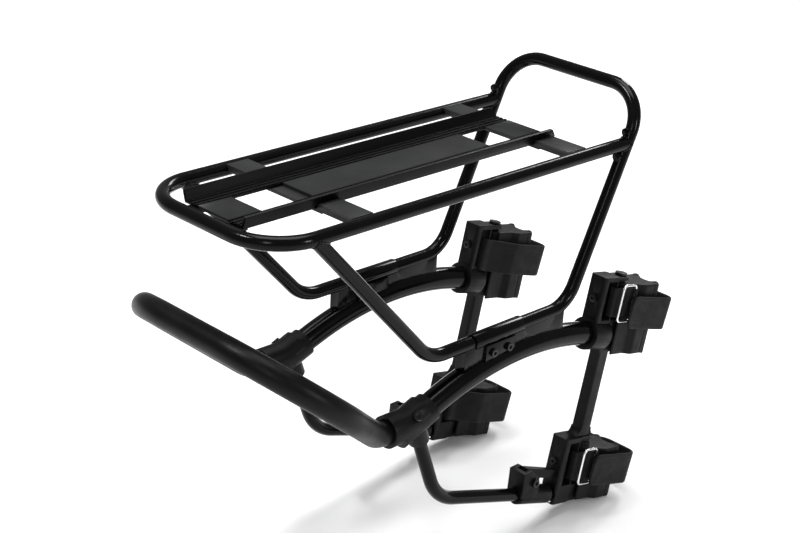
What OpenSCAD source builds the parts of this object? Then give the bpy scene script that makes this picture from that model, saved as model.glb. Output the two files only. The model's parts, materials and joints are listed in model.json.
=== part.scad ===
// Rear rack for a bicycle: a tubular deck on two arches, strapped to the seat stays at four pads.
// X points to the front of the bicycle, Y to its left and Z up.
// The origin is the middle of the platform's top face.

/* [Deck] */
// Length from the rear bar to the hoop, centre to centre
deck_len = 340; // [320:1:360]
// Width between the centrelines of the two side tubes
deck_w = 131; // [125:1:137]
// Outside diameter of the deck, hoop and strut tubes
tube_d = 10; // [9:0.5:11]
// Centreline radius of the deck loop's rear corners
deck_corner_r = 37; // [34:1:42]

/* [Hoop and side frames] */
// Height of the hoop's top bar above the deck
hoop_rise = 35.6; // [32:0.1:40]
// Backward lean of the hoop's legs from vertical, in degrees
hoop_lean = 24.7; // [23:0.1:26]
// Centreline radius of the hoop's two top corners
hoop_corner_r = 31; // [28:1:34]
// Depth of the side frame's bottom run below the deck
side_drop = 115.5; // [114.5:0.1:116.5]
// Centreline radius of the side frame's front bottom bends
front_bend_r = 26; // [22:1:30]
// Centreline radius of the side frame's rear bottom bends
rear_bend_r = 34; // [30:1:38]
// Distance from the rear bar to the side frame's rear bottom corner
side_rear_x = 144.5; // [143:0.5:146]
// Slope of the rear diagonal from horizontal, in degrees
diagonal_slope = 46.8; // [45:0.1:48]

/* [Platform] */
// Width between the platform's rails at the bottom
platform_w = 55; // [53:1:57]
// Height of the floor's top face above the deck tubes' centres
floor_top = 3.5; // [3:0.1:4]
// Height of the rails above the floor's top face
rail_rise = 6.8; // [5:0.1:8]
// Outward lean of the rails, in degrees
rail_lean = 16; // [10:1:20]
// Distance from the rear bar to the platform's rear end
platform_rear_x = 9; // [8.5:0.5:10]
// Length of the platform's floor
platform_len = 291; // [289:1:293]
// Width of a crossbar, front to back
crossbar_w = 18.5; // [17:0.5:20]

/* [Arches] */
// Centreline radius of the arch tubes
arch_r = 255; // [254:1:256]
// Outside diameter of the arch tubes
arch_d = 18; // [17.6:0.1:18.2]
// Distance from the rear bar to the arch's highest point
arch_top_x = 239.5; // [239:0.5:240]
// Depth of the arch centreline's highest point below the deck
arch_top_drop = 135; // [134.8:0.1:135.5]

/* [Rear loop] */
// Outside diameter of the rear loop
loop_d = 17.9; // [17.5:0.1:18.3]
// Half width of the rear loop where its cross tube and legs would meet
loop_half_w = 118.6; // [117:0.1:120]
// Distance of the loop's cross tube behind the rear bar
loop_back = 5.6; // [4:0.1:7]
// Depth of the loop's cross tube below the deck
loop_drop = 75.3; // [74:0.1:77]
// Centreline radius of the loop's corners
loop_corner_r = 60; // [58:1:62]

/* [Stay brackets] */
// Forward lean of the bracket legs from vertical, in degrees
leg_lean = 11.9; // [11.5:0.1:12.3]
// Distance from the rear bar to the middle of the legs
leg_x = 326.1; // [325.8:0.1:326.4]
// Depth of the middle of the legs below the deck
leg_drop = 198.4; // [198.1:0.1:198.7]
// Full width of a bracket's box
box_w = 15; // [14.5:0.5:15.5]
// Radius of the groove in a pad that holds a seat stay
groove_r = 9; // [8.5:0.1:9.5]
// Height of a strap
strap_h = 26; // [24:0.5:26.5]
// Thickness of a strap
strap_t = 2.2; // [2:0.1:2.4]

/* [Hidden] */
$fn = 48;
reach = 400;
tube_r = tube_d / 2;
arch_tube_r = arch_d / 2;
side_y = deck_w / 2;
right = -1;
left = 1;

// The origin sits above this point of the deck
datum_x = 160;

// Hoop and side frame: the legs run through the deck tubes' ends
lean_run = tan(hoop_lean);
hoop_top_x = deck_len + hoop_rise * lean_run;
side_front_x = deck_len - side_drop * lean_run;
diagonal_top_x = side_rear_x - side_drop / tan(diagonal_slope);

// Arch: a circle in the side's plane, with a straight spigot at each end
arch_centre_z = -arch_top_drop - arch_r;
arch_rear_a = 21;
arch_front_a = 16;
rear_spigot_len = 24;
front_spigot_len = 17;
function arch_point(a) = [arch_top_x + arch_r * sin(a), arch_centre_z + arch_r * cos(a)];
arch_rear = arch_point(-arch_rear_a);
arch_front = arch_point(arch_front_a);

// Elbow: it grips the arch's rear spigot and holds the strut
elbow_r = 11;
elbow_len = 33;
hub_r = 11.7;
hub_x = [105.5, 130];
socket_r = 7.6;
elbow_dir = [-cos(arch_rear_a), -sin(arch_rear_a)];
elbow_front = arch_rear + 2 * elbow_dir;
elbow_rear = elbow_front + elbow_len * elbow_dir;
elbow_bolt_r = 3.4;
elbow_bolt_at = 17;
elbow_bolt_up = 11.6;

// Rear loop: its legs leave the elbows level, then climb outward to the cross tube
loop_start_x = 112;
loop_bend_x = 97.5;
loop_leg_drop = 158.9;
loop_leg_bend_r = 23;

// Strut: a bent tube from the elbow to the lower end of the bracket
strut_top = [138.9, -176.4];
strut_corner = [159.8, -231.3];
strut_slope = 19;
strut_tip = strut_corner + 137 * [cos(strut_slope), -sin(strut_slope)];
strut_bend_r = 40;
strut_dir = (strut_corner - strut_top) / norm(strut_corner - strut_top);
strut_start = strut_top - 8 * strut_dir;

// Strut clamp: a sleeve and two ears, joined to the bracket's lug by a bolt
clamp_bolt = [260.1, -252.5];
clamp_bolt_r = 2.2;
clamp_sleeve_r = 7.5;
clamp_len = 36;
clamp_front = strut_tip - 7 * [cos(strut_slope), -sin(strut_slope)];
clamp_rear = clamp_front - clamp_len * [cos(strut_slope), -sin(strut_slope)];
ear_in = 4.2;
ear_out = 7.6;
lug_half = 2.6;
lug_hole_r = 3.4;

// Bracket: T runs forward, S up the leg, and the side's outward face has a positive Y
box_rear = -23;
box_front = -5;
box_half = box_w / 2;
window_rear = -18;
window_front = -7.5;
pin_t = 4.5;
pin_r = 4;
pin_gap = 0.05;
boss_front_r = 6.5;
relief_r = 7.8;
knuckle_r = 7;
leg_half_t = 6.2;
leg_half_y = 5;
upper_box = [56, 94.5];
upper_window = [60.5, 91];
upper_boss = [36, 60];
upper_pad = [32, 88.5];
lower_box = [-90, -36];
lower_window = [-75, -40];
lower_boss = [-90, -76];
lower_pad = [-89.5, -47];
strap_screw_s = [77, -56];
pad_back = 2;
pad_neck = 17;
pad_jaw = 23;
pad_front = 41.3;
pad_neck_half = 9.5;
pad_jaw_half = 13;
groove_t = pad_front + groove_r / 2;
socket_outer_r = 12.6;
socket_boss = [2, 21];
fit_gap = 0.05;

// Straps: an open loop round the front of the pad
strap_side = 17.4;
strap_front = 57.5;
strap_corner_r = 9;
strap_tilt = 5;
upper_strap_s = 69.5;
lower_strap_s = -60.5;
flap_end = 2.5;
window_mid = -12.5;

// Rings: a bent wire that hangs in a webbing tab
wire_r = 1;
ring_y = 12.7;
ring_hinge_t = 9.8;
ring_len = 15;
ring_h = 28.5;
ring_bend_r = 3.2;
tab_h = 23;
tab_t = 1;
upper_ring_s = 75;
lower_ring_s = -59;

black = [0.05, 0.05, 0.05];
satin = [0.22, 0.22, 0.23];
matte = [0.10, 0.10, 0.11];
webbing = [0.07, 0.07, 0.07];
silver = [0.78, 0.78, 0.80];
dark_steel = [0.16, 0.16, 0.17];

// ---- Helpers ----

function unit(v) = v / norm(v);
function flat_pt(p, y) = [p[0], y, p[1]];
function square_to(d) = unit(abs(d[1]) < 0.9 ? cross(d, [0, 1, 0]) : cross(d, [1, 0, 0]));
function bend_reach(a, b, c, r) = r * tan(acos(unit(b - a) * unit(c - b)) / 2);
// A bend is a hair fatter than its straight runs, which are seated a little way into it
bend_swell = 0.02;
function bend_seat(r) = sqrt(r * bend_swell);

// Moves the deck's coordinates to the rack's own origin
module in_frame() {
    translate([-datum_x, 0, -floor_top]) children();
}

// Puts the local Z axis along d and the local X axis along x, at point p
module placed(p, x, d) {
    y = cross(d, x);
    multmatrix([[x[0], y[0], d[0], p[0]], [x[1], y[1], d[1], p[1]], [x[2], y[2], d[2], p[2]]])
        children();
}

module rod(a, b, r) {
    d = unit(b - a);
    placed(a, square_to(d), d) cylinder(h = norm(b - a), r = r);
}

// A quarter or other part of a torus that starts at point a and heads along d1 into d2
module bend(corner, d1, d2, bend_r, r) {
    turn = acos(d1 * d2);
    axis = unit(cross(d1, d2));
    inward = cross(axis, d1);
    start = corner - bend_r * tan(turn / 2) * d1;
    placed(start + bend_r * inward, -inward, axis)
        rotate_extrude(angle = turn) translate([bend_r, 0]) circle(r = r + bend_swell);
}

// A round tube or rod along the points, with a bend of its own radius at each inner point.
// Each straight run takes its local X from the bend beside it, so that their facets meet.
module bent_rod(pts, bends, r) {
    n = len(pts);
    cuts = [for (i = [0 : n - 1])
        (i == 0 || i == n - 1) ? 0 : bend_reach(pts[i - 1], pts[i], pts[i + 1], bends[i - 1])];
    seats = [for (i = [0 : n - 1]) (i == 0 || i == n - 1) ? 0 : bend_seat(bends[i - 1])];
    for (i = [0 : n - 2]) {
        d = unit(pts[i + 1] - pts[i]);
        k = min(i + 1, n - 2);
        axis = unit(cross(pts[k] - pts[k - 1], pts[k + 1] - pts[k]));
        start = pts[i] + (cuts[i] - seats[i]) * d;
        end = pts[i + 1] - (cuts[i + 1] - seats[i + 1]) * d;
        placed(start, cross(axis, d), d) cylinder(h = norm(end - start), r = r);
    }
    for (i = [1 : n - 2])
        bend(pts[i], unit(pts[i] - pts[i - 1]), unit(pts[i + 1] - pts[i]), bends[i - 1], r);
}

// An outline in the side's plane, given in X and Z, as a plate between two distances from the middle
module side_plate(y_low, y_high) {
    translate([0, y_high, 0]) rotate([90, 0, 0]) linear_extrude(height = y_high - y_low) children();
}

module rounded_rect(l, w, r) {
    square([l - 2 * r, w], center = true);
    square([l, w - 2 * r], center = true);
    for (x = [-1, 1], y = [-1, 1])
        translate([x * (l / 2 - r), y * (w / 2 - r)]) circle(r = r);
}

// A flat stroke with round ends, w wide, along the points
module stroke(pts, w) {
    for (i = [0 : len(pts) - 2]) {
        d = pts[i + 1] - pts[i];
        translate(pts[i]) rotate(atan2(d[1], d[0])) translate([0, -w / 2]) square([norm(d), w]);
    }
    for (p = pts) translate(p) circle(r = w / 2);
}

// Places the bracket's own axes for one side of the rack
module at_bracket(side) {
    translate([leg_x, side * side_y, -leg_drop]) rotate([0, leg_lean, 0])
        mirror([0, side < 0 ? 1 : 0, 0]) children();
}

// ---- Deck ----

module deck_tube_shape() {
    bent_rod([[reach, side_y, 0], [0, side_y, 0], [0, -side_y, 0], [reach, -side_y, 0]],
             [deck_corner_r, deck_corner_r], tube_r);
}

module hoop_leg_shape(side, r) {
    rod([deck_len + 60 * lean_run, side * side_y, 60], [deck_len - 60 * lean_run, side * side_y, -60], r);
}

module deck_loop() {
    color(black) in_frame() difference() {
        deck_tube_shape();
        for (side = [left, right]) {
            hoop_leg_shape(side, tube_r + fit_gap);
            translate([deck_len, side * side_y, 0]) rotate([0, hoop_lean, 0])
                translate([0, -tube_d, -reach]) cube([reach, 2 * tube_d, 2 * reach]);
        }
    }
}

module hoop_frame() {
    top_seat = 1.5;
    half = [[diagonal_top_x + top_seat / tan(diagonal_slope), side_y, -top_seat],
            [side_rear_x, side_y, -side_drop],
            [side_front_x, side_y, -side_drop], [hoop_top_x, side_y, hoop_rise]];
    other = [for (i = [3 : -1 : 0]) [half[i][0], -half[i][1], half[i][2]]];
    side_bends = [rear_bend_r, front_bend_r, hoop_corner_r];
    color(black) in_frame() difference() {
        bent_rod(concat(half, other), concat(side_bends, [hoop_corner_r, front_bend_r, rear_bend_r]), tube_r);
        // The diagonals' tops are cut to fit the deck's side tubes
        for (side = [left, right]) translate([-20, side * side_y, 0])
            rotate([0, 90, 0]) cylinder(h = side_rear_x + 20, r = tube_r + fit_gap);
    }
}

// Small bosses behind the hoop's legs, just above and below the deck tubes
module hoop_bosses() {
    boss_r = 3.2;
    boss_h = 2.2;
    boss_up = 8.7;
    leg_gap = 0.3;
    head_r = 1.9;
    head_h = 0.8;
    skin = tube_r / cos(hoop_lean);
    color(black) in_frame() for (side = [left, right], z = [boss_up, -boss_up]) difference() {
        translate([deck_len + z * lean_run, side * side_y, z]) rotate([0, -90, 0]) {
            cylinder(h = skin + boss_h, r = boss_r);
            cylinder(h = skin + boss_h + head_h, r = head_r);
        }
        hoop_leg_shape(side, tube_r + leg_gap);
    }
}

// ---- Platform ----

rail_t = 2.2;
floor_t = 2.3;
groove_w = 1.2;
groove_depth = 0.9;
rear_window = [35.5, 79];
front_window = [246, 274];
window_half = 15.5;
crossbar_z = floor_top - floor_t;
crossbar_sheet = 2.4;
tab_top = 4.6;
skirt = 5;
rear_crossbar_x = 69.5;
front_crossbar_x = 278;

module platform_profile() {
    half = platform_w / 2;
    translate([-half, floor_top - floor_t]) square([platform_w, floor_t]);
    for (side = [0, 1]) mirror([side, 0]) difference() {
        translate([half - 0.4, floor_top - floor_t]) rotate(-rail_lean)
            translate([0, -1]) square([rail_t, (rail_rise + floor_t) / cos(rail_lean) + 1]);
        translate([0, floor_top - floor_t - 5]) square([platform_w, 5]);
    }
}

// Longitudinal grooves of the floor, as distances from the middle
floor_grooves = [-24.5, -20.5, -16.5, 16.5, 20.5, 24.5];

module platform() {
    cut_slope = 40;
    cut_up = 0.6;
    color(satin) in_frame() difference() {
        translate([platform_rear_x, 0, 0]) rotate([90, 0, 90])
            linear_extrude(height = platform_len) platform_profile();
        for (y = floor_grooves) translate([0, y - groove_w / 2, floor_top - groove_depth])
            cube([reach, groove_w, floor_t]);
        for (w = [rear_window, front_window])
            translate([w[0], -window_half, -floor_t]) cube([w[1] - w[0], 2 * window_half, 4 * floor_t]);
        // The rails' front ends are cut at a slant
        translate([platform_rear_x + platform_len, 0, floor_top + cut_up]) rotate([0, -cut_slope, 0])
            translate([0, -platform_w, 0]) cube([reach, 2 * platform_w, reach]);
    }
}

// A pressed crossbar: low under the platform, raised at its ends to flat tabs beside the deck tubes
module crossbar(x) {
    rail_room = platform_w / 2 + rail_t;
    low_half = 31.5;
    step = 34.5;
    color(satin) in_frame() difference() {
        translate([x, 0, 0]) rotate([90, 0, 90]) linear_extrude(height = crossbar_w) {
            translate([-low_half, crossbar_z - crossbar_sheet]) square([2 * low_half, crossbar_sheet]);
            for (side = [0, 1]) mirror([side, 0]) {
                translate([low_half - crossbar_sheet, -crossbar_sheet + crossbar_z])
                    square([crossbar_sheet + 3, tab_top - crossbar_z + crossbar_sheet]);
                translate([step - 3, tab_top - crossbar_sheet]) square([side_y - step, crossbar_sheet]);
                translate([step, tab_top - skirt]) square([side_y - step - tube_r, skirt]);
            }
        }
        // The tabs are hollow underneath
        for (side = [-1, 1])
            translate([x + crossbar_sheet, side < 0 ? -side_y - 1 : step + 1, tab_top - skirt - 1])
                cube([crossbar_w - 2 * crossbar_sheet, side_y - step, skirt + 1 - crossbar_sheet]);
        for (side = [left, right]) translate([0, side * side_y, 0])
            rotate([0, 90, 0]) cylinder(h = deck_len, r = tube_r);
        // Clearance for the platform's leaning rails
        for (side = [0, 1]) mirror([0, side, 0]) translate([0, 0, crossbar_z]) rotate([90, 0, 90])
            linear_extrude(height = deck_len) polygon([[-1, 0], [rail_room, 0],
                [rail_room + rail_rise * tan(rail_lean), rail_rise], [-1, rail_rise]]);
    }
}

module rear_crossbar() { crossbar(rear_crossbar_x); }
module front_crossbar() { crossbar(front_crossbar_x); }

// Screws that hold the platform on its crossbars, driven in from underneath
module platform_screws() {
    screw_x = [rear_crossbar_x + crossbar_w / 2, front_crossbar_x + crossbar_w / 2];
    screw_y = 11.5;
    head_r = 2.6;
    head_h = 1.3;
    color(dark_steel) in_frame() for (x = screw_x, side = [left, right])
        translate([x, side * screw_y, crossbar_z - crossbar_sheet - head_h]) difference() {
            cylinder(h = head_h, r = head_r);
            translate([0, 0, -0.4]) cylinder(h = 1, r = 1.3, $fn = 6);
        }
}

// Small feet that join the platform's rear end to the rear bar
module platform_brackets() {
    foot_l = 11;
    foot_w = 9;
    color(satin) in_frame() for (side = [left, right]) difference() {
        translate([-2, side * 20 - foot_w / 2, -tube_r])
            cube([foot_l + 8, foot_w, floor_top - floor_t + tube_r]);
        rotate([90, 0, 0]) cylinder(h = platform_w * 2, r = tube_r, center = true);
        translate([-reach, -reach, -reach]) cube([reach + 2, 2 * reach, 2 * reach]);
        translate([9, -reach, -tube_r - 1]) cube([reach, 2 * reach, 3.5]);
    }
}

// ---- Saddles and arches ----

saddle_rear = 176;
saddle_front = 280;
saddle_half = 4.5;
saddle_sleeve = [186, 236];
saddle_sleeve_r = 6.1;
saddle_boss_x = 196;
saddle_boss_l = 30;

module arch_space(r) {
    translate([arch_top_x, 0, arch_centre_z]) rotate([90, 0, 0])
        rotate_extrude($fn = 180) translate([arch_r, 0]) circle(r = r);
}

module saddle(side) {
    bottom_z = -side_drop;
    color(black) in_frame() translate([0, side * side_y, 0]) difference() {
        union() {
            translate([saddle_rear, -saddle_half, bottom_z - 24])
                cube([saddle_front - saddle_rear, 2 * saddle_half, 24]);
            translate([saddle_sleeve[0], 0, bottom_z]) rotate([0, 90, 0])
                cylinder(h = saddle_sleeve[1] - saddle_sleeve[0], r = saddle_sleeve_r);
            translate([saddle_boss_x, -saddle_sleeve_r, bottom_z - 18])
                cube([saddle_boss_l, 2 * saddle_sleeve_r, 14]);
        }
        arch_space(arch_tube_r + fit_gap);
        translate([arch_top_x, -reach, arch_centre_z]) rotate([-90, 0, 0])
            cylinder(h = 2 * reach, r = arch_r, $fn = 180);
        // The side frame's front bend rises out of the saddle
        bent_rod([[side_rear_x - 60, 0, -side_drop + 60 * tan(diagonal_slope)],
            [side_rear_x, 0, -side_drop], [side_front_x, 0, -side_drop], [hoop_top_x, 0, hoop_rise]],
            [rear_bend_r, front_bend_r], tube_r + fit_gap);
    }
}

module right_saddle() { saddle(right); }
module left_saddle() { saddle(left); }

module saddle_screws() {
    head_r = 3;
    color(dark_steel) in_frame() for (side = [left, right], x = [203, 219])
        translate([x, side * (side_y + saddle_sleeve_r), -side_drop - 10.5]) rotate([-90 * side, 0, 0]) difference() {
            cylinder(h = 2.2, r = head_r);
            translate([0, 0, 1]) cylinder(h = 2, r = 1.5, $fn = 6);
        }
}

module arch(side) {
    rear_dir = [cos(arch_rear_a), sin(arch_rear_a)];
    front_dir = [cos(arch_front_a), -sin(arch_front_a)];
    seat = bend_seat(arch_r);
    color(black) in_frame() translate([0, side * side_y, 0]) {
        translate([arch_top_x, 0, arch_centre_z]) rotate([90, 0, 0]) rotate(90 - arch_front_a)
            rotate_extrude(angle = arch_rear_a + arch_front_a, $fn = 180)
                translate([arch_r, 0]) circle(r = arch_tube_r + bend_swell, $fn = 48);
        rod(flat_pt(arch_rear + seat * rear_dir, 0), flat_pt(arch_rear - rear_spigot_len * rear_dir, 0),
            arch_tube_r);
        rod(flat_pt(arch_front - seat * front_dir, 0), flat_pt(arch_front + front_spigot_len * front_dir, 0),
            arch_tube_r);
    }
}

module right_arch() { arch(right); }
module left_arch() { arch(left); }

// ---- Elbows and rear loop ----

module elbow(side) {
    d = [elbow_dir[0], 0, elbow_dir[1]];
    front = flat_pt(elbow_front, 0);
    back = flat_pt(elbow_rear, 0);
    ridge = [0, 0, 3.4];
    color(matte) in_frame() translate([0, side * side_y, 0]) difference() {
        union() {
            rod(front, back, elbow_r);
            rod([hub_x[1], 0, -loop_leg_drop], [hub_x[0], 0, -loop_leg_drop], hub_r);
            rod(front + 8 * d + ridge, back - 3 * d + ridge, elbow_r - 0.4);
            rod(flat_pt(strut_top - 20 * strut_dir, 0), flat_pt(strut_top, 0), socket_r);
        }
        rod(front - d, front + (rear_spigot_len - 2) * d, arch_tube_r);
        rod(flat_pt(strut_start, 0), flat_pt(strut_start + 30 * strut_dir, 0), tube_r + fit_gap);
        rod([loop_start_x, 0, -loop_leg_drop], [loop_start_x - 60, 0, -loop_leg_drop], loop_d / 2 + fit_gap);
        // The bolt sits on the sleeve's outer shoulder
        translate(front + elbow_bolt_at * d) rotate([0, arch_rear_a * -1, 0]) rotate([-45 * side, 0, 0])
            translate([0, 0, elbow_bolt_up]) cylinder(h = 10, r = elbow_bolt_r);
    }
}

module right_elbow() { elbow(right); }
module left_elbow() { elbow(left); }

module elbow_bolts() {
    d = [elbow_dir[0], 0, elbow_dir[1]];
    color(dark_steel) in_frame() for (side = [left, right])
        translate([0, side * side_y, 0]) translate(flat_pt(elbow_front, 0) + elbow_bolt_at * d)
            rotate([0, -arch_rear_a, 0]) rotate([-45 * side, 0, 0]) translate([0, 0, elbow_bolt_up])
                difference() {
                    cylinder(h = 2.6, r = elbow_bolt_r);
                    translate([0, 0, 1.4]) cylinder(h = 3, r = 1.6, $fn = 6);
                }
}

module rear_loop() {
    half = [[loop_start_x, side_y, -loop_leg_drop], [loop_bend_x, side_y, -loop_leg_drop],
            [-loop_back, loop_half_w, -loop_drop]];
    other = [for (i = [2 : -1 : 0]) [half[i][0], -half[i][1], half[i][2]]];
    color(matte) in_frame() bent_rod(concat(half, other),
        [loop_leg_bend_r, loop_corner_r, loop_corner_r, loop_leg_bend_r], loop_d / 2);
}

// ---- Struts and their clamps ----

module strut_shape() {
    bent_rod([flat_pt(strut_start, 0), flat_pt(strut_corner, 0), flat_pt(strut_tip, 0)],
        [strut_bend_r], tube_r);
}

module strut(side) {
    color(black) in_frame() translate([0, side * side_y, 0]) strut_shape();
}

module right_strut() { strut(right); }
module left_strut() { strut(left); }

// The clamp's outline from the side: ears that rise from the sleeve to the bolt
module ear_outline() {
    polygon([[clamp_rear[0] - 2, clamp_rear[1]], [clamp_bolt[0] - 12, clamp_bolt[1] + 11],
             [clamp_bolt[0] - 3, clamp_bolt[1] + 11], [clamp_bolt[0] + 5.5, clamp_bolt[1] + 2],
             [clamp_bolt[0] + 5.5, clamp_bolt[1] - 12]]);
}

module strut_clamp(side) {
    color(matte) in_frame() translate([0, side * side_y, 0]) difference() {
        union() {
            rod(flat_pt(clamp_rear, 0), flat_pt(clamp_front, 0), clamp_sleeve_r);
            side_plate(-ear_out, ear_out) ear_outline();
        }
        rod(flat_pt(clamp_rear - [20, -6.9], 0), flat_pt(strut_tip, 0), tube_r);
        // The slot between the ears takes the bracket's lug
        translate([clamp_bolt[0] - 8, -ear_in, clamp_bolt[1] - 7.2]) cube([60, 2 * ear_in, 30]);
        translate([clamp_bolt[0], 0, clamp_bolt[1]]) rotate([90, 0, 0])
            cylinder(h = 4 * ear_out, r = clamp_bolt_r, center = true);
        strut_shape();
    }
}

module right_strut_clamp() { strut_clamp(right); }
module left_strut_clamp() { strut_clamp(left); }

module clamp_bolt_set(side) {
    head_r = 3.4;
    color(dark_steel) in_frame() translate([clamp_bolt[0], side * side_y, clamp_bolt[1]])
        rotate([-90 * side, 0, 0]) difference() {
            union() {
                translate([0, 0, -ear_out]) cylinder(h = 2 * ear_out, r = clamp_bolt_r);
                translate([0, 0, ear_out]) cylinder(h = 2.4, r = head_r);
                translate([0, 0, -ear_out - 2.6]) cylinder(h = 2.6, r = head_r + 0.6, $fn = 6);
            }
            translate([0, 0, ear_out + 1]) cylinder(h = 2, r = 1.6, $fn = 6);
        }
}

module right_clamp_bolt() { clamp_bolt_set(right); }
module left_clamp_bolt() { clamp_bolt_set(left); }

// ---- Stay brackets ----

// A box whose outline is given by its rear, front, bottom and top, with small rounded corners
module st_block(t, s, half) {
    r = 2;
    translate([(t[0] + t[1]) / 2, 0, s[0]]) linear_extrude(height = s[1] - s[0])
        rounded_rect(t[1] - t[0], 2 * half, r);
}

module pin_post(s, r) {
    translate([pin_t, 0, s[0]]) cylinder(h = s[1] - s[0], r = r);
}

// Arc fillets where the leg meets a box, above or below
module leg_fillets(s, up, r) {
    for (m = [0, 1]) mirror([m, 0, 0]) translate([leg_half_t, 0, s]) mirror([0, 0, up ? 0 : 1])
        side_plate(-leg_half_y, leg_half_y) difference() {
            translate([-1, -1]) square([r + 1, r + 1]);
            translate([r, r]) circle(r = r);
        }
}

// The strut's tip sits in a round notch at the foot of the bracket
module tip_notch() {
    local_slope = strut_slope - leg_lean;
    tip = [strut_tip[0] - leg_x, strut_tip[1] + leg_drop];
    tip_t = cos(leg_lean) * tip[0] - sin(leg_lean) * tip[1];
    tip_s = sin(leg_lean) * tip[0] + cos(leg_lean) * tip[1];
    rod([tip_t - 30 * cos(local_slope), 0, tip_s + 30 * sin(local_slope)],
        [tip_t + 1.8 * cos(local_slope), 0, tip_s - 1.8 * sin(local_slope)], tube_r + 2.2);
}

// The lug that reaches back to the strut clamp's bolt
module lug() {
    dx = clamp_bolt[0] - leg_x;
    dz = clamp_bolt[1] + leg_drop;
    bolt_t = cos(leg_lean) * dx - sin(leg_lean) * dz;
    bolt_s = sin(leg_lean) * dx + cos(leg_lean) * dz;
    side_plate(-lug_half, lug_half) difference() {
        union() {
            translate([bolt_t, bolt_s]) circle(r = 6.5);
            polygon([[bolt_t - 6.2, bolt_s + 2], [bolt_t - 6.2, bolt_s + 10.5], [box_rear + 1, bolt_s + 3.5],
                     [box_rear + 1, bolt_s - 3], [bolt_t + 6.4, bolt_s + 1]]);
        }
        translate([bolt_t, bolt_s]) circle(r = lug_hole_r);
    }
}

module bracket_solid() {
    st_block([box_rear, box_front], upper_box, box_half);
    st_block([box_rear, box_front], [upper_boss[0] + 4, upper_box[1] - 1], box_half);
    st_block([box_front - 4, pin_t], [upper_boss[0], upper_boss[1]], boss_front_r);
    pin_post(upper_boss, boss_front_r);
    st_block([box_front - 4, pin_t], [upper_window[1], upper_box[1] - 1], boss_front_r);
    pin_post([upper_window[1], upper_box[1] - 1], boss_front_r);
    st_block([-leg_half_t, leg_half_t], [lower_box[1] - 3, upper_boss[0] + 3], leg_half_y);
    leg_fillets(lower_box[1] - 0.5, true, 7);
    leg_fillets(upper_boss[0] + 0.5, false, 3.5);
    st_block([box_rear - 1, box_front], lower_box, box_half);
    st_block([box_front - 4, pin_t], lower_boss, boss_front_r);
    pin_post(lower_boss, boss_front_r);
    st_block([box_front - 4, pin_t], [lower_window[1], lower_box[1]], boss_front_r);
    pin_post([lower_window[1], lower_box[1]], boss_front_r);
    lug();
}

module bracket_holes() {
    for (w = [upper_window, lower_window])
        translate([window_rear, -2 * box_half, w[0]])
            cube([window_front - window_rear, 4 * box_half, w[1] - w[0]]);
    pin_post([upper_boss[1] - 10, upper_box[1] + 5], pin_r);
    pin_post([lower_boss[0] + 8, lower_box[1] - 1.5], pin_r);
    for (s = strap_screw_s) translate([box_rear - 5, 0, s]) rotate([0, 90, 0]) cylinder(h = 12, r = 2);
    tip_notch();
}

// The arch's front spigot plugs into a round boss on the back of the bracket
module bracket(side) {
    d = [cos(arch_front_a), 0, -sin(arch_front_a)];
    spigot = [arch_front[0], side * side_y, arch_front[1]];
    color(matte) in_frame() difference() {
        union() {
            at_bracket(side) bracket_solid();
            rod(spigot + socket_boss[0] * d, spigot + socket_boss[1] * d, socket_outer_r);
        }
        at_bracket(side) bracket_holes();
        rod(spigot - 3 * d, spigot + (front_spigot_len + 0.2) * d, arch_tube_r + fit_gap);
    }
}

module right_bracket() { bracket(right); }
module left_bracket() { bracket(left); }

module pad_pins(side) {
    head_r = 4.7;
    color(dark_steel) in_frame() at_bracket(side) {
        pin_post([upper_boss[1] - 10, upper_box[1]], pin_r);
        pin_post([upper_box[1] - 1, upper_box[1] + 1.2], head_r);
        pin_post([lower_boss[0] + 8, lower_box[1] - 1.5], pin_r);
    }
}

module right_pad_pins() { pad_pins(right); }
module left_pad_pins() { pad_pins(left); }

// Domed strap screws in the backs of the boxes
module bracket_bolts(side) {
    head_r = 3.3;
    shank = 3.6;
    color(dark_steel) in_frame() at_bracket(side) for (i = [0, 1])
        translate([box_rear - i, 0, strap_screw_s[i]]) rotate([0, -90, 0]) difference() {
            union() {
                translate([0, 0, -shank]) cylinder(h = shank, r = 2);
                cylinder(h = 1.2, r = head_r);
                translate([0, 0, 1.2]) cylinder(h = 0.9, r = head_r - 0.8);
            }
            translate([0, 0, 0.8]) cylinder(h = 3, r = 1.3, $fn = 6);
        }
}

module right_bracket_bolts() { bracket_bolts(right); }
module left_bracket_bolts() { bracket_bolts(left); }

// ---- Pads ----

module pad_outline() {
    n = pad_neck_half;
    j = pad_jaw_half;
    polygon([[pad_back, -n], [pad_neck, -n], [pad_jaw, -j], [pad_front - 2, -j], [pad_front, -j + 2],
             [pad_front, j - 2], [pad_front - 2, j], [pad_jaw, j], [pad_neck, n], [pad_back, n]]);
}

// A pad turns on its pin: knuckle is the stretch round the pin, boss the bracket's boss that it clears
module pad(side, s, boss, knuckle) {
    gap = 1.2;
    color(matte) in_frame() at_bracket(side) difference() {
        union() {
            difference() {
                translate([0, 0, s[0]]) linear_extrude(height = s[1] - s[0]) pad_outline();
                pin_post([s[0] - 1, boss[1] + gap], relief_r);
                pin_post([knuckle[1], s[1] + 50], relief_r);
            }
            pin_post([boss[1] + gap, knuckle[1]], knuckle_r);
        }
        pin_post([s[0] - 30, s[1] + 30], pin_r + pin_gap);
        translate([groove_t, 0, s[0] - 1]) cylinder(h = s[1] - s[0] + 2, r = groove_r);
    }
}

module upper_pad(side) { pad(side, upper_pad, upper_boss, [0, upper_pad[1]]); }
module lower_pad(side) { pad(side, lower_pad, lower_boss, [0, lower_window[1] - 1.2]); }
module right_upper_pad() { upper_pad(right); }
module right_lower_pad() { lower_pad(right); }
module left_upper_pad() { upper_pad(left); }
module left_lower_pad() { lower_pad(left); }

// ---- Straps, tabs and rings ----

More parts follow.
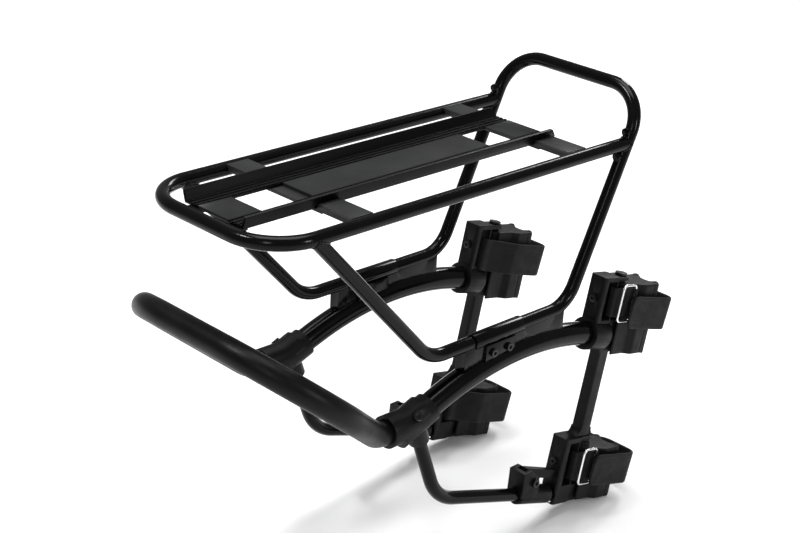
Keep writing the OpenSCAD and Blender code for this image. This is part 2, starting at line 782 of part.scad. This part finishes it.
// A quarter ring between the strap's side and its front
module strap_corner() {
    intersection() {
        difference() {
            circle(r = strap_corner_r + strap_t / 2);
            circle(r = strap_corner_r - strap_t / 2);
        }
        square(2 * strap_corner_r);
    }
}

// The strap from above: from the window, out past the pad, round the front and back to the flap's end
module strap_outline() {
    straight_end = strap_front - strap_corner_r;
    inner_y = strap_side - strap_corner_r;
    stroke([[window_mid, -1.4], [window_mid, -9.6], [-6, -9.6], [16, -strap_side], [straight_end, -strap_side]],
           strap_t);
    stroke([[straight_end, strap_side], [12, strap_side], [flap_end, strap_side + 0.4]], strap_t);
    stroke([[strap_front, -inner_y], [strap_front, inner_y]], strap_t);
    translate([straight_end, inner_y]) strap_corner();
    mirror([0, 1]) translate([straight_end, inner_y]) strap_corner();
}

// Inside its window a strap is trimmed to the window's lower edge
module strap(side, s, window) {
    color(webbing) in_frame() at_bracket(side) difference() {
        translate([0, 0, s]) rotate([0, strap_tilt, 0])
            translate([0, 0, -strap_h / 2]) linear_extrude(height = strap_h) strap_outline();
        translate([window_rear, -box_half - 0.4, window[0] - strap_h])
            cube([box_front - window_rear, 2 * box_half + 0.8, strap_h + 0.4]);
    }
}

module right_upper_strap() { strap(right, upper_strap_s, upper_window); }
module right_lower_strap() { strap(right, lower_strap_s, lower_window); }
module left_upper_strap() { strap(left, upper_strap_s, upper_window); }
module left_lower_strap() { strap(left, lower_strap_s, lower_window); }

// The tab that holds the ring: from the window to a loop round the ring's front bar
module tab_outline() {
    loop_r = wire_r + 0.25;
    stroke([[window_mid + 3, 4.2], [window_mid + 3, 8.9], [-3, 8.9], [3, ring_y - loop_r - tab_t / 2],
            [ring_hinge_t, ring_y - loop_r - tab_t / 2]], tab_t);
    translate([ring_hinge_t, ring_y]) difference() {
        circle(r = loop_r + tab_t);
        circle(r = loop_r);
    }
}

module tab(side, s) {
    color(webbing) in_frame() at_bracket(side) translate([0, 0, s - tab_h / 2])
        linear_extrude(height = tab_h) tab_outline();
}

module right_upper_tab() { tab(right, upper_ring_s); }
module right_lower_tab() { tab(right, lower_ring_s); }
module left_upper_tab() { tab(left, upper_ring_s); }
module left_lower_tab() { tab(left, lower_ring_s); }

// A closed wire rectangle with rounded corners
module ring(side, s) {
    half = ring_h / 2;
    back = ring_hinge_t - ring_len;
    mid = (back + ring_hinge_t) / 2;
    pts = [[mid, ring_y, half], [ring_hinge_t, ring_y, half], [ring_hinge_t, ring_y, -half],
           [back, ring_y, -half], [back, ring_y, half], [mid, ring_y, half]];
    bends = [for (i = [1 : 4]) ring_bend_r];
    color(silver) in_frame() at_bracket(side) translate([0, 0, s]) bent_rod(pts, bends, wire_r, $fn = 24);
}

module right_upper_ring() { ring(right, upper_ring_s); }
module right_lower_ring() { ring(right, lower_ring_s); }
module left_upper_ring() { ring(left, upper_ring_s); }
module left_lower_ring() { ring(left, lower_ring_s); }

deck_loop();
hoop_frame();
hoop_bosses();
platform();
platform_screws();
rear_crossbar();
front_crossbar();
platform_brackets();
right_saddle();
left_saddle();
saddle_screws();
right_arch();
left_arch();
right_elbow();
left_elbow();
elbow_bolts();
rear_loop();
right_strut();
left_strut();
right_strut_clamp();
left_strut_clamp();
right_clamp_bolt();
left_clamp_bolt();
right_bracket();
left_bracket();
right_pad_pins();
left_pad_pins();
right_bracket_bolts();
left_bracket_bolts();
right_upper_pad();
right_lower_pad();
left_upper_pad();
left_lower_pad();
right_upper_strap();
right_lower_strap();
left_upper_strap();
left_lower_strap();
right_upper_tab();
right_lower_tab();
left_upper_tab();
left_lower_tab();
right_upper_ring();
right_lower_ring();
left_upper_ring();
left_lower_ring();
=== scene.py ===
import json
import math

import bmesh
import bpy
from mathutils import Matrix, Vector


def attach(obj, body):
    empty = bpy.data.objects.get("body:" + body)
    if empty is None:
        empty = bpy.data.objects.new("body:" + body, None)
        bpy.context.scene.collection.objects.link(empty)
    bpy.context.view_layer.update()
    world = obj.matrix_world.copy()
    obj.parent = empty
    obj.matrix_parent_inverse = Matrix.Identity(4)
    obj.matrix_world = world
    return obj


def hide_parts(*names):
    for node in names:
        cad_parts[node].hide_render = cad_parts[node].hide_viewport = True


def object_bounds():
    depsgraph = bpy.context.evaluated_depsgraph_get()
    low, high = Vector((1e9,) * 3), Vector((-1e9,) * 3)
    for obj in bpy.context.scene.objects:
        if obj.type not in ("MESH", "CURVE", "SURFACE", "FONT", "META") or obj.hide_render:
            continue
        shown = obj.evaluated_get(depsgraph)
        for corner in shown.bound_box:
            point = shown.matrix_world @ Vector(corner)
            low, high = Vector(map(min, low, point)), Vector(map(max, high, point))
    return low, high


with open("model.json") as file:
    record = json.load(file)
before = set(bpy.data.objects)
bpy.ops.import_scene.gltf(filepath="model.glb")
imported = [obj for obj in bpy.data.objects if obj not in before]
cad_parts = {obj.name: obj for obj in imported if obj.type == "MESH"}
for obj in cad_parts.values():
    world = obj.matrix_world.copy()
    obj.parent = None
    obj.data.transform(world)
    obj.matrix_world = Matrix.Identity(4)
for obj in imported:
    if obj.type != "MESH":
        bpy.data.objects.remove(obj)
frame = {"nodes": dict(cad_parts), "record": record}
cad_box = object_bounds()
nodes = frame["nodes"]
MM = 0.001

# ---- Places that repeat part.scad's own values, in millimetres ----
DATUM_X, DATUM_Z = 160.0, 3.5
SIDE_Y = 65.5
TUBE_R = 5.0
LEG_X, LEG_DROP, LEG_LEAN = 326.1, 198.4, math.radians(11.9)
DECK_LEN, HOOP_LEAN = 340.0, math.radians(24.7)
SIDE_DROP, SIDE_REAR_X, DIAG = 115.5, 144.5, math.radians(46.8)
RING_HINGE_T, RING_Y, WIRE_R = 9.8, 12.7, 1.0
UPPER_STRAP_S, LOWER_STRAP_S = 69.5, -60.5
UPPER_RING_S, LOWER_RING_S = 75.0, -59.0
STRAP_TILT = math.radians(5)
SIDES = {"right": -1, "left": 1}
STRAP_W, STRAP_T, TAB_W, TAB_T = 26, 2.0, 23, 0.95
GROOVE_T, GROOVE_R, PAD_FRONT_T = 45.8, 9.0, 41.3
# Each pad's middle and half height along the leg
PADS = {"upper": (60.25, 28.25), "lower": (-68.25, 21.25)}
WELD_GAP = 0.000004
LEVELS = {"upper": (UPPER_STRAP_S, UPPER_RING_S), "lower": (LOWER_STRAP_S, LOWER_RING_S)}


def deck(x, y, z):
    """A point of the deck's own frame, in millimetres, as a point of the row frame, in metres."""
    return Vector(((x - DATUM_X) * MM, y * MM, (z - DATUM_Z) * MM))


def stay(side, t, y, s):
    """A point of a bracket's own axes: t forward, y outward, s up the leg."""
    c, n = math.cos(LEG_LEAN), math.sin(LEG_LEAN)
    return deck(LEG_X + t * c + s * n, side * (SIDE_Y + y), -LEG_DROP - t * n + s * c)


# ---- Materials ----


class Mat:
    """A node material with short calls for its usual nodes."""

    def __init__(self, name, **sockets):
        self.m = bpy.data.materials.new(name)
        self.m.use_nodes = True
        self.t = self.m.node_tree
        self.n = self.t.nodes
        self.bsdf = self.n["Principled BSDF"]
        for k, v in sockets.items():
            self.bsdf.inputs[k.replace("_", " ")].default_value = v
        self.co = self.n.new("ShaderNodeTexCoord")
        self.height = None

    def link(self, a, b):
        self.t.links.new(a, b)

    def noise(self, scale, detail=4.0, rough=0.5, stretch=None, coord="Object"):
        tex = self.n.new("ShaderNodeTexNoise")
        tex.inputs["Scale"].default_value = scale
        tex.inputs["Detail"].default_value = detail
        tex.inputs["Roughness"].default_value = rough
        src = self.co.outputs[coord]
        if stretch:
            mp = self.n.new("ShaderNodeMapping")
            mp.inputs["Scale"].default_value = stretch
            self.link(src, mp.inputs["Vector"])
            src = mp.outputs["Vector"]
        self.link(src, tex.inputs["Vector"])
        return tex.outputs["Fac"]

    def span(self, fac, lo, hi, a, b):
        r = self.n.new("ShaderNodeMapRange")
        for k, v in zip(("From Min", "From Max", "To Min", "To Max"), (lo, hi, a, b)):
            r.inputs[k].default_value = v
        self.link(fac, r.inputs["Value"])
        return r.outputs["Result"]

    def ramp(self, fac, *stops):
        r = self.n.new("ShaderNodeValToRGB")
        e = r.color_ramp.elements
        while len(e) < len(stops):
            e.new(0.5)
        for el, (p, col) in zip(e, stops):
            el.position = p
            el.color = (*col, 1)
        self.link(fac, r.inputs["Fac"])
        return r.outputs["Color"]

    def math(self, op, a, b=None):
        q = self.n.new("ShaderNodeMath")
        q.operation = op
        for i, v in enumerate((a, b)):
            if v is None:
                continue
            if isinstance(v, (int, float)):
                q.inputs[i].default_value = v
            else:
                self.link(v, q.inputs[i])
        return q.outputs[0]

    def bump(self, height, distance, strength=1.0):
        b = self.n.new("ShaderNodeBump")
        b.inputs["Distance"].default_value = distance
        b.inputs["Strength"].default_value = strength
        self.link(height, b.inputs["Height"])
        if self.height:
            self.link(self.height, b.inputs["Normal"])
        self.height = b.outputs["Normal"]
        self.link(self.height, self.bsdf.inputs["Normal"])

    def edge(self):
        """How much an edge stands proud, from the mesh's own pointiness."""
        g = self.n.new("ShaderNodeNewGeometry")
        return g.outputs["Pointiness"]

    def to(self, out, socket):
        self.link(out, self.bsdf.inputs[socket])


def paint(name, dark, light, rough, gloss, peel=0.00006):
    m = Mat(name, Specular_IOR_Level=gloss)
    m.to(m.ramp(m.noise(28, 5), (0.35, dark), (0.7, light)), "Base Color")
    m.to(m.span(m.noise(75, 6, 0.6), 0.3, 0.7, rough[0], rough[1]), "Roughness")
    m.bump(m.noise(1500, 3), peel, 0.5)
    m.bump(m.noise(260, 2), peel * 2.0, 0.35)
    return m.m


def plastic(name, dark, light, rough, grain=0.00008, grain_scale=1700):
    m = Mat(name, Specular_IOR_Level=0.13)
    base = m.ramp(m.noise(45, 6), (0.3, dark), (0.72, light))
    # Proud edges, found by pointiness, are mixed towards a paler colour: a painted highlight along the edges
    painted_edge_highlight = m.n.new("ShaderNodeMix")
    painted_edge_highlight.data_type = "RGBA"
    m.link(m.span(m.edge(), 0.52, 0.62, 0.0, 0.5), painted_edge_highlight.inputs["Factor"])
    m.link(base, painted_edge_highlight.inputs[6])
    painted_edge_highlight.inputs[7].default_value = (light[0] * 2.2, light[1] * 2.2, light[2] * 2.2, 1)
    m.to(painted_edge_highlight.outputs[2], "Base Color")
    m.to(m.span(m.noise(120, 5), 0.3, 0.7, rough[0], rough[1]), "Roughness")
    m.bump(m.noise(grain_scale, 2, 0.6), grain, 0.7)
    m.bump(m.noise(420, 3), grain * 1.3, 0.4)
    return m.m


def brushed(name, dark, light, rough, metallic, gloss=0.5):
    m = Mat(name, Metallic=metallic, Specular_IOR_Level=gloss)
    lines = m.noise(500, 4, 0.6, stretch=(0.03, 1.0, 1.0))
    m.to(m.ramp(m.noise(35, 5), (0.3, dark), (0.75, light)), "Base Color")
    m.to(m.span(lines, 0.3, 0.7, rough[0], rough[1]), "Roughness")
    m.bump(lines, 0.00003, 0.5)
    m.bump(m.noise(1300, 3), 0.00004, 0.5)
    return m.m


def plate(name, strip, dark, light, side):
    """Brushed plate with a paler strip down its middle, between the grooves."""
    m = Mat(name, Specular_IOR_Level=0.10)
    sep = m.n.new("ShaderNodeSeparateXYZ")
    m.link(m.co.outputs["Object"], sep.inputs[0])
    middle = m.span(m.math("ABSOLUTE", sep.outputs[1]), strip, strip + 0.0004, 1.0, 0.0)
    lines = m.noise(500, 4, 0.6, stretch=(0.03, 1.0, 1.0))
    pale = m.ramp(m.noise(35, 5), (0.3, dark), (0.75, light))
    mix = m.n.new("ShaderNodeMix")
    mix.data_type = "RGBA"
    m.link(middle, mix.inputs["Factor"])
    mix.inputs[6].default_value = (*side, 1)
    m.link(pale, mix.inputs[7])
    m.to(mix.outputs[2], "Base Color")
    m.to(m.span(lines, 0.3, 0.7, 0.34, 0.46), "Roughness")
    m.bump(lines, 0.00003, 0.5)
    m.bump(m.noise(1300, 3), 0.00004, 0.5)
    return m.m


def webbing(name, dark, light, pitch, rib, sheen=0.35):
    m = Mat(name, Sheen_Weight=sheen, Sheen_Roughness=0.45, Specular_IOR_Level=0.2)
    sep = m.n.new("ShaderNodeSeparateXYZ")
    m.link(m.co.outputs["UV"], sep.inputs[0])
    u, v = sep.outputs[0], sep.outputs[1]
    k = 2 * math.pi / pitch
    # A plain weave: warp and weft cross over, half a step out in each next row
    over = m.math("MULTIPLY", m.math("SINE", m.math("MULTIPLY", u, k)),
                  m.math("SINE", m.math("MULTIPLY", v, k * 0.8)))
    rows = m.math("SINE", m.math("MULTIPLY", v, 2 * math.pi / rib))
    fuzz = m.noise(2600, 3)
    weave = m.math("ADD", m.span(over, -1, 1, 0, 0.7), m.math("MULTIPLY", fuzz, 0.5))
    m.to(m.ramp(m.math("MULTIPLY", weave, 0.8), (0.15, dark), (0.9, light)), "Base Color")
    m.to(m.span(m.noise(90, 4), 0.3, 0.7, 0.62, 0.80), "Roughness")
    m.bump(weave, 0.00012, 0.8)
    m.bump(rows, 0.00004, 0.5)
    return m.m


MATS = {
    "gloss_black": paint("gloss_black", (0.0012, 0.0012, 0.0013),
        (0.0026, 0.0026, 0.0028), (0.12, 0.19), 0.12),
    "satin_black": paint("satin_black", (0.0020, 0.0020, 0.0022),
        (0.0038, 0.0038, 0.0041), (0.34, 0.44), 0.13, 0.0001),
    "satin_grey": brushed("satin_grey", (0.0036, 0.0036, 0.0038),
        (0.0080, 0.0080, 0.0084), (0.34, 0.46), 0.0, 0.13),
    "matte_black": plastic("matte_black", (0.0020, 0.0020, 0.0021), (0.0042, 0.0042, 0.0044), (0.36, 0.50)),
    "pad_rubber": plastic("pad_rubber", (0.0032, 0.0032, 0.0034),
        (0.0058, 0.0058, 0.0061), (0.42, 0.56), 0.00010, 2200),
    "webbing": webbing("webbing", (0.0030, 0.0030, 0.0032),
        (0.0078, 0.0078, 0.0082), 1.1 * MM, 2.2 * MM, 0.03),
    "wire": brushed("wire", (0.72, 0.72, 0.74), (0.86, 0.86, 0.88), (0.16, 0.28), 1.0),
    "dark_steel": brushed("dark_steel", (0.014, 0.014, 0.015), (0.034, 0.034, 0.036), (0.22, 0.34), 0.8),
}
PLATE = plate("plate", 14.6 * MM, (0.0145, 0.0148, 0.0150), (0.0225, 0.0228, 0.0232),
              (0.0010, 0.0010, 0.0011))
BAR = brushed("bar", (0.0160, 0.0162, 0.0165), (0.0240, 0.0243, 0.0247), (0.36, 0.48), 0.0, 0.14)
THREAD = webbing("thread", (0.03, 0.03, 0.032), (0.07, 0.07, 0.074), 0.35 * MM, 0.7 * MM, 0.1)

slots = {s["node"]: s["material_slot"] for s in frame["record"]["subparts"]}
for name, o in nodes.items():
    o.data.materials.clear()
    mat = PLATE if name == "platform" else BAR if "crossbar" in name else MATS[slots[name]]
    o.data.materials.append(mat)

# ---- Rounded edges on the CAD nodes: the width in millimetres, by the longest match in a node's name ----
ROUNDS = {
    "bracket": 0.9, "strut_clamp": 0.8, "elbow": 0.9, "saddle": 0.6, "platform": 0.25, "crossbar": 0.35,
    "platform_brackets": 0.3, "screws": 0.2, "bolts": 0.3, "clamp_bolt": 0.3, "pad_pins": 0.4, "bosses": 0.4,
}


def round_of(name):
    hits = [k for k in ROUNDS if k in name]
    return ROUNDS[max(hits, key=len)] if hits else 0.0


for name, o in nodes.items():
    width = round_of(name)
    if width:
        for p in o.data.polygons:
            p.use_smooth = True
        weld = o.modifiers.new("weld", "WELD")
        weld.merge_threshold = WELD_GAP
        b = o.modifiers.new("round", "BEVEL")
        b.width = width * MM
        b.segments = 3
        b.limit_method = "ANGLE"
        b.angle_limit = math.radians(38)
        b.harden_normals = True
        b.use_clamp_overlap = True
        b.miter_outer = "MITER_ARC"

# ---- Mesh helpers ----


def make(name, bm, mat, body, smooth=True):
    me = bpy.data.meshes.new(name)
    bmesh.ops.recalc_face_normals(bm, faces=bm.faces[:])
    bm.to_mesh(me)
    bm.free()
    me.materials.append(mat)
    for p in me.polygons:
        p.use_smooth = smooth
    o = bpy.data.objects.new(name, me)
    bpy.context.scene.collection.objects.link(o)
    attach(o, body)
    return o


def loft(bm, rings, closed=False, uvs=None):
    """Skins a list of rings of points; uvs gives each ring's points their place on the cloth."""
    layer = bm.loops.layers.uv.verify() if uvs else None
    rows = [[bm.verts.new(p) for p in ring] for ring in rings]
    tags = {}
    if uvs:
        for row, uv in zip(rows, uvs):
            for v, t in zip(row, uv):
                tags[v] = t
    n = len(rows[0])
    pairs = list(zip(rows, rows[1:])) + ([(rows[-1], rows[0])] if closed else [])
    faces = []
    for a, b in pairs:
        for i in range(n):
            j = (i + 1) % n
            faces.append(bm.faces.new((a[i], a[j], b[j], b[i])))
    if not closed:
        faces.append(bm.faces.new(list(reversed(rows[0]))))
        faces.append(bm.faces.new(rows[-1]))
    if layer:
        for f in faces:
            for loop in f.loops:
                loop[layer].uv = tags[loop.vert]


def tube(bm, pts, radius, sides=10, closed=False):
    """A round bead along points; radius is a number or a call of the point's index."""
    n = len(pts)
    rings, up = [], Vector((0.3, 0.2, 1)).normalized()
    for i, p in enumerate(pts):
        a = pts[(i - 1) % n] if closed or i else p
        b = pts[(i + 1) % n] if closed or i < n - 1 else p
        d = (b - a).normalized()
        x = (up - d * up.dot(d)).normalized()
        y = d.cross(x)
        r = radius(i) if callable(radius) else radius
        rings.append([p + (x * math.cos(q) + y * math.sin(q)) * r for q in
                      (2 * math.pi * k / sides for k in range(sides))])
        up = x
    loft(bm, rings, closed)


def arc(cx, cy, r, a0, a1, n):
    return [(cx + r * math.cos(math.radians(a0 + (a1 - a0) * k / n)),
             cy + r * math.sin(math.radians(a0 + (a1 - a0) * k / n))) for k in range(n + 1)]


def resample(pts, step):
    """The path's points at an even step, with each point's distance along it."""
    out, dist, total, nxt = [], [], 0.0, 0.0
    for a, b in zip(pts, pts[1:]):
        seg = math.dist(a, b)
        while seg > 0 and nxt <= total + seg:
            f = (nxt - total) / seg
            out.append((a[0] + (b[0] - a[0]) * f, a[1] + (b[1] - a[1]) * f))
            dist.append(nxt)
            nxt += step
        total += seg
    return out, dist


def ease(pts, times):
    """Rounds a path's corners and keeps its two ends."""
    for _ in range(times):
        pts = [pts[0]] + [((a[0] + 2 * b[0] + c[0]) / 4, (a[1] + 2 * b[1] + c[1]) / 4)
                          for a, b, c in zip(pts, pts[1:], pts[2:])] + [pts[-1]]
    return pts


def band(name, side, path, mid_s, tilt, width, thick, body, node, end_r=0.0, rib=0.06, pitch=1.5):
    """Webbing along a path of (t, y) points of the bracket, with raised ribs and soft selvedges."""
    step = 0.5
    pts, dist = resample(path, step)
    pts = ease(pts, 10)
    total = dist[-1]
    flat_n, edge_n = 22, 4
    half, h = width / 2, thick / 2
    bm = bmesh.new()
    rings, uvs = [], []
    ct, st = math.cos(tilt), math.sin(tilt)
    for i, (p, d) in enumerate(zip(pts, dist)):
        a, b = pts[max(i - 1, 0)], pts[min(i + 1, len(pts) - 1)]
        dx, dy = b[0] - a[0], b[1] - a[1]
        ln = math.hypot(dx, dy) or 1
        nx, ny = -dy / ln, dx / ln
        left = total - d
        w = half
        if end_r and left < end_r:
            w = half - (end_r - math.sqrt(max(end_r ** 2 - (end_r - left) ** 2, 0)))
        near = min(d, left)
        hh = h * (math.sqrt(max(1 - (1 - min(near / 0.9, 1)) ** 2, 0.05)))
        wave = rib * math.sin(2 * math.pi * d / pitch)
        ring = []
        for k in range(flat_n + 1):
            v = -1 + 2 * k / flat_n
            lip = 0.12 if 0.86 < abs(v) < 0.97 else 0.0
            ring.append((v * (w - h), hh + (wave + lip) * (1 if abs(v) < 0.97 else 0)))
        for k in range(1, edge_n):
            q = math.pi / 2 - math.pi * k / edge_n
            ring.append((w - h + h * math.cos(q), hh * math.sin(q)))
        for k in range(flat_n + 1):
            v = 1 - 2 * k / flat_n
            ring.append((v * (w - h), -hh + (wave if abs(v) < 0.97 else 0)))
        for k in range(1, edge_n):
            q = -math.pi / 2 - math.pi * k / edge_n
            ring.append((-(w - h) + h * math.cos(q), hh * math.sin(q)))
        row, uv = [], []
        for v, g in ring:
            t, y, s = p[0] + nx * g, p[1] + ny * g, v
            t2, s2 = t * ct + s * st, -t * st + s * ct
            row.append(stay(side, t2, y, mid_s + s2))
            uv.append((d * MM, v * MM))
        rings.append(row)
        uvs.append(uv)
    loft(bm, rings, uvs=uvs)
    o = make(name, bm, MATS["webbing"], body)
    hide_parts(node)
    return o, total


def stitches(name, side, rows, body, tilt, mid_s):
    """Short raised threads; each row is a list of (t, y, s, dt, dy, ds) in the bracket's axes."""
    bm = bmesh.new()
    ct, st = math.cos(tilt), math.sin(tilt)
    for t, y, s, dt, dy, ds in rows:
        ends = []
        for f in (-0.5, -0.25, 0, 0.25, 0.5):
            tt, yy, ss = t + dt * f, y + dy * f, s + ds * f
            ends.append(stay(side, tt * ct + ss * st, yy, mid_s - tt * st + ss * ct))
        tube(bm, ends, lambda i: (0.05 if i in (0, 4) else 0.16) * MM, 6)
    return make(name, bm, THREAD, body)


# ---- Straps and tabs ----
STRAP_PATH = ([(-12.5, -1.4), (-12.5, -9.6), (-6, -9.6), (16, -17.4), (48.5, -17.4)]
              + arc(48.5, -8.4, 9, -90, 0, 12) + arc(48.5, 8.4, 9, 0, 90, 12)
              + [(30, 17.45), (12, 17.4), (2.5, 17.8)])
LOOP_R = WIRE_R + 0.25
TAB_PATH = ([(-9.5, 4.2), (-9.5, 8.9), (-3, 8.9), (3, RING_Y - LOOP_R - 0.5),
             (RING_HINGE_T, RING_Y - LOOP_R - 0.5)]
            + arc(RING_HINGE_T, RING_Y, LOOP_R + 0.5, -90, 170, 18))

for side_name, side in SIDES.items():
    body = side_name + "_bracket"
    for level, (strap_s, ring_s) in LEVELS.items():
        key = f"{side_name}_{level}"
        strap, length = band(key + "_strap_webbing", side, STRAP_PATH, strap_s, STRAP_TILT,
                             STRAP_W, STRAP_T, body, key + "_strap", end_r=7.5)
        rows = [(t, 18.75, s, 1.7, 0, 0) for s in (-10.6, 10.6) for t in range(12, 26, 3)]
        rows += [(12 + 0.4, 18.75, s, 0, 0, 1.7) for s in range(-9, 10, 3)]
        rows += [(25.2, 18.75, s, 0, 0, 1.7) for s in range(-9, 10, 3)]
        sewn = stitches(key + "_strap_stitches", side, rows, body, STRAP_TILT, strap_s)
        tab, tab_len = band(key + "_tab_webbing", side, TAB_PATH, ring_s, 0.0,
                            TAB_W, TAB_T, body, key + "_tab", rib=0.05, pitch=1.3)
        rows = [(2.6, RING_Y - LOOP_R + 0.02, s, 0, 0, 1.5) for s in range(-10, 11, 2)]
        rows += [(4.6, RING_Y - LOOP_R + 0.05, s, 0, 0, 1.5) for s in range(-10, 11, 2)]
        sewn = stitches(key + "_tab_stitches", side, rows, body, 0.0, ring_s)

# ---- Moulded rubber pads, from the CAD pads' own shape ----


def moulded_pad(key, side, s_mid, s_half):
    """The CAD pad remeshed, with grip ribs, a parting groove and rounded jaw corners."""
    jaw_r = 5.0
    src = nodes[key + "_pad"]
    me = src.data.copy()
    o = bpy.data.objects.new(key + "_pad_moulding", me)
    bpy.context.scene.collection.objects.link(o)
    weld = o.modifiers.new("weld", "WELD")
    weld.merge_threshold = WELD_GAP
    rm = o.modifiers.new("remesh", "REMESH")
    rm.mode = "VOXEL"
    rm.voxel_size = 0.00062
    sm = o.modifiers.new("soften", "SMOOTH")
    sm.factor = 0.5
    sm.iterations = 9
    dg = bpy.context.evaluated_depsgraph_get()
    new = bpy.data.meshes.new_from_object(o.evaluated_get(dg))
    o.modifiers.clear()
    o.data = new
    c, n = math.cos(LEG_LEAN), math.sin(LEG_LEAN)
    for v in new.vertices:
        x, z = v.co.x / MM + DATUM_X - LEG_X, v.co.z / MM + DATUM_Z + LEG_DROP
        t, s = x * c - z * n, x * n + z * c
        y = side * v.co.y / MM - SIDE_Y
        to_axis = math.hypot(t - GROOVE_T, y)
        mv_t = mv_y = 0.0
        if to_axis < 9.6 and t < 42.3 and abs(s - s_mid) < s_half - 1.6:
            # Grip ribs across the groove, cut into the rubber
            cut = 0.32 * (0.5 - 0.5 * math.cos(2 * math.pi * (s - s_mid) / 3.4))
            mv_t, mv_y = -cut * (GROOVE_T - t) / GROOVE_R, cut * y / GROOVE_R
        elif abs(y) > 11.6 and 22.5 < t < PAD_FRONT_T:
            # A parting groove along each cheek
            mv_y = -math.copysign(0.42 * math.exp(-((t - 33.4) / 0.55) ** 2), y)
        # The jaw's front corners are rounded as seen from the side
        mv_s = 0.0
        over_t, over_s = t - (PAD_FRONT_T - jaw_r), abs(s - s_mid) - (s_half - jaw_r)
        reach = math.hypot(over_t, over_s)
        if over_t > 0 and over_s > 0 and reach > jaw_r:
            mv_t += over_t * (jaw_r / reach - 1)
            mv_s = math.copysign(over_s * (jaw_r / reach - 1), s - s_mid)
        v.co += Vector((mv_t * c + mv_s * n, side * mv_y, -mv_t * n + mv_s * c)) * MM
    new.materials.clear()
    new.materials.append(MATS["pad_rubber"])
    for p in new.polygons:
        p.use_smooth = True
    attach(o, key + "_pad")
    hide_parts(key + "_pad")


for side_name, side in SIDES.items():
    for level, (pad_mid, pad_half) in PADS.items():
        moulded_pad(f"{side_name}_{level}", side, pad_mid, pad_half)

# ---- Weld beads ----


def weld_bead(name, centre, ripple, count=96, size=0.85):
    """A rippled bead around a joint; centre gives its middle line by angle."""
    pts = [centre(2 * math.pi * k / count) for k in range(count)]
    bm = bmesh.new()
    tube(bm, pts, lambda i: (size + ripple * math.sin(i * 2 * math.pi * 30 / count)) * MM, 10, closed=True)
    return make(name, bm, MATS["gloss_black"], "rack")


for side_name, side in SIDES.items():
    def hoop_joint(q, side=side):
        y, z = TUBE_R * math.cos(q), TUBE_R * math.sin(q)
        x = DECK_LEN + (z * math.sin(HOOP_LEAN) - TUBE_R * abs(math.sin(q))) / math.cos(HOOP_LEAN)
        return deck(x, side * SIDE_Y + y, z)

    def diagonal_joint(q, side=side):
        top = SIDE_REAR_X - SIDE_DROP / math.tan(DIAG)
        k = TUBE_R * (math.sin(q) * math.cos(DIAG) + abs(math.sin(q))) / math.sin(DIAG)
        return deck(top + k * math.cos(DIAG) + TUBE_R * math.sin(q) * math.sin(DIAG),
                    side * SIDE_Y + TUBE_R * math.cos(q), -TUBE_R * abs(math.sin(q)))

    weld_bead(side_name + "_hoop_weld", hoop_joint, 0.14)
    weld_bead(side_name + "_diagonal_weld", diagonal_joint, 0.14, size=0.8)

# ---- Floor, light and camera ----
low, high = cad_box
floor_z = low[2] - 0.0005


def make_floor():
    bm = bmesh.new()
    bmesh.ops.create_grid(bm, x_segments=1, y_segments=1, size=6)
    me = bpy.data.meshes.new("floor")
    bm.to_mesh(me)
    bm.free()
    o = bpy.data.objects.new("floor", me)
    o.location = (0, 0, floor_z)
    bpy.context.scene.collection.objects.link(o)
    m = Mat("floor_paper", Roughness=0.9, Specular_IOR_Level=0.1)
    m.to(m.ramp(m.noise(3, 3), (0.2, (0.93, 0.93, 0.93)), (0.8, (0.96, 0.96, 0.96))), "Base Color")
    me.materials.append(m.m)


make_floor()

world = bpy.data.worlds.new("studio")
bpy.context.scene.world = world
world.use_nodes = True
back = world.node_tree.nodes["Background"]
back.inputs["Color"].default_value = (1.0, 1.0, 1.0, 1)
back.inputs["Strength"].default_value = 0.3


def softbox(name, at, target, size, power, ratio=1.0):
    light = bpy.data.lights.new(name, "AREA")
    light.shape = "RECTANGLE"
    light.size = size
    light.size_y = size * ratio
    light.energy = power
    o = bpy.data.objects.new(name, light)
    o.location = at
    o.rotation_euler = (Vector(target) - Vector(at)).to_track_quat("-Z", "Y").to_euler()
    bpy.context.scene.collection.objects.link(o)


softbox("overhead", (0.35, 0.35, 2.4), (0.3, 0.3, -0.3), 1.7, 58)
softbox("key", (-0.9, 0.6, 1.5), (0.05, 0, -0.08), 0.45, 16, 0.35)
softbox("side", (0.3, -1.7, 0.55), (0.08, 0, -0.12), 0.2, 8, 2.6)
softbox("rim", (1.6, 0.5, 0.9), (0.1, 0, -0.1), 0.35, 14, 2.0)
softbox("fill", (-1.5, -0.9, 0.9), (0.0, 0, -0.1), 0.25, 5, 2.6)

cam_data = bpy.data.cameras.new("camera")
cam = bpy.data.objects.new("camera", cam_data)
bpy.context.scene.collection.objects.link(cam)
bpy.context.scene.camera = cam
az, el, roll = math.radians(44.74), math.radians(23.18), math.radians(-3.008)
fwd = Vector((math.cos(el) * math.cos(az), math.cos(el) * math.sin(az), -math.sin(el)))
right = Vector((math.sin(az), -math.cos(az), 0))
down = fwd.cross(right)
right2 = right * math.cos(roll) + down * math.sin(roll)
down2 = -right * math.sin(roll) + down * math.cos(roll)
rot = Matrix((right2, -down2, -fwd)).transposed()
cam.matrix_world = Matrix.Translation((-0.77357, -0.78406, 0.39558)) @ rot.to_4x4()
cam_data.sensor_width = 36
cam_data.lens = 76.7
cam_data.clip_start = 0.01
bpy.context.scene.view_settings.view_transform = "Standard"
